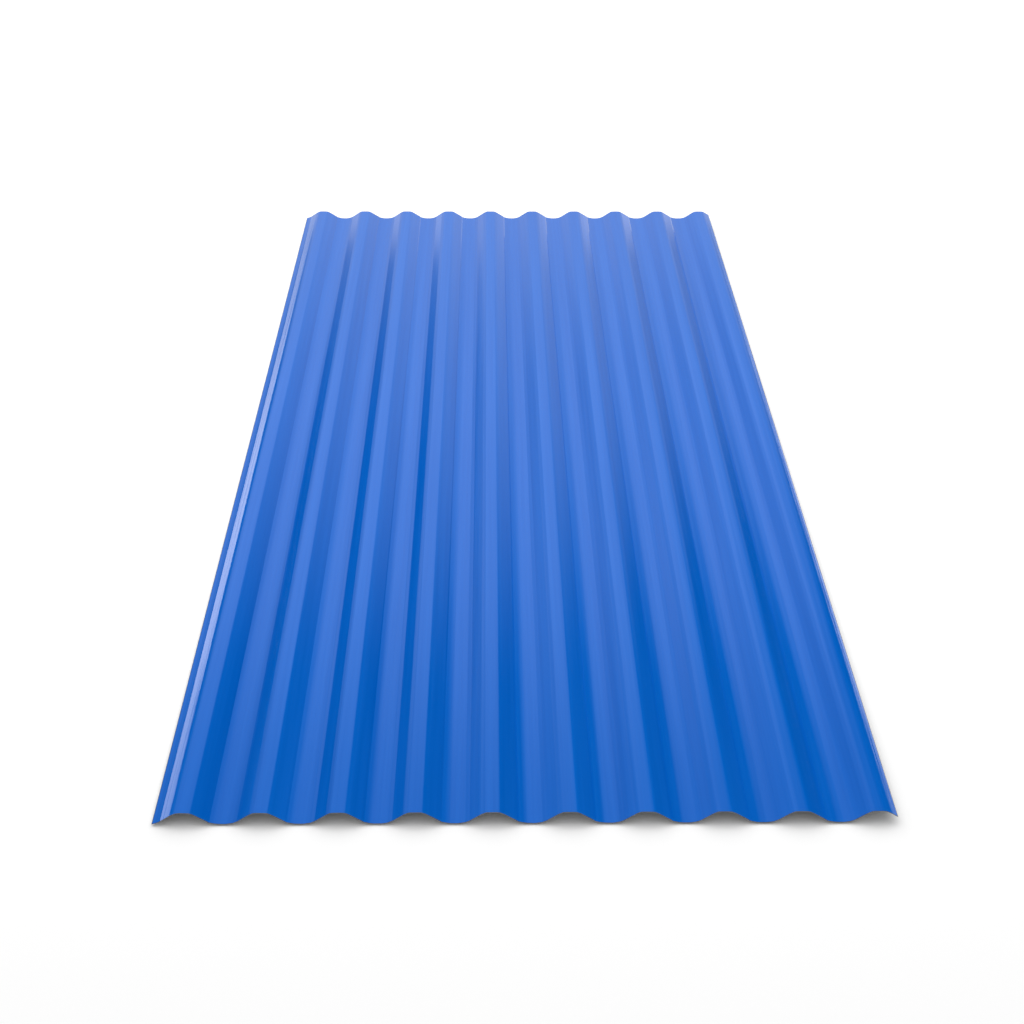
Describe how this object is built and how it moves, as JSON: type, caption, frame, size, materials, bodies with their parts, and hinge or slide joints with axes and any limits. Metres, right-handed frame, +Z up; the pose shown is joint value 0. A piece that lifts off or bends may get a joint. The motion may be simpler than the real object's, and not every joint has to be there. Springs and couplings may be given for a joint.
{
  "type": "corrugated metal sheet",
  "caption": "Rectangular sheet of blue painted steel rolled into round waves along its length, for covering roofs, walls and fences.",
  "frame": {"origin": "middle of the sheet's length and width, at the level of the valleys' undersides, which it lies on", "axes": "+X across the waves, towards the side edge that ends half way down a flank; +Y along the waves; +Z up, out of the painted face"},
  "size_m": [0.7352, 1.8288, 0.0137],
  "materials": {
    "blue_paint": "smooth gloss coil coat, blue above and grey beneath, with bare cut edges"
  },
  "bodies": {
    "root": {"corrugated_sheet": "blue_paint"}
  },
  "joints": []
}
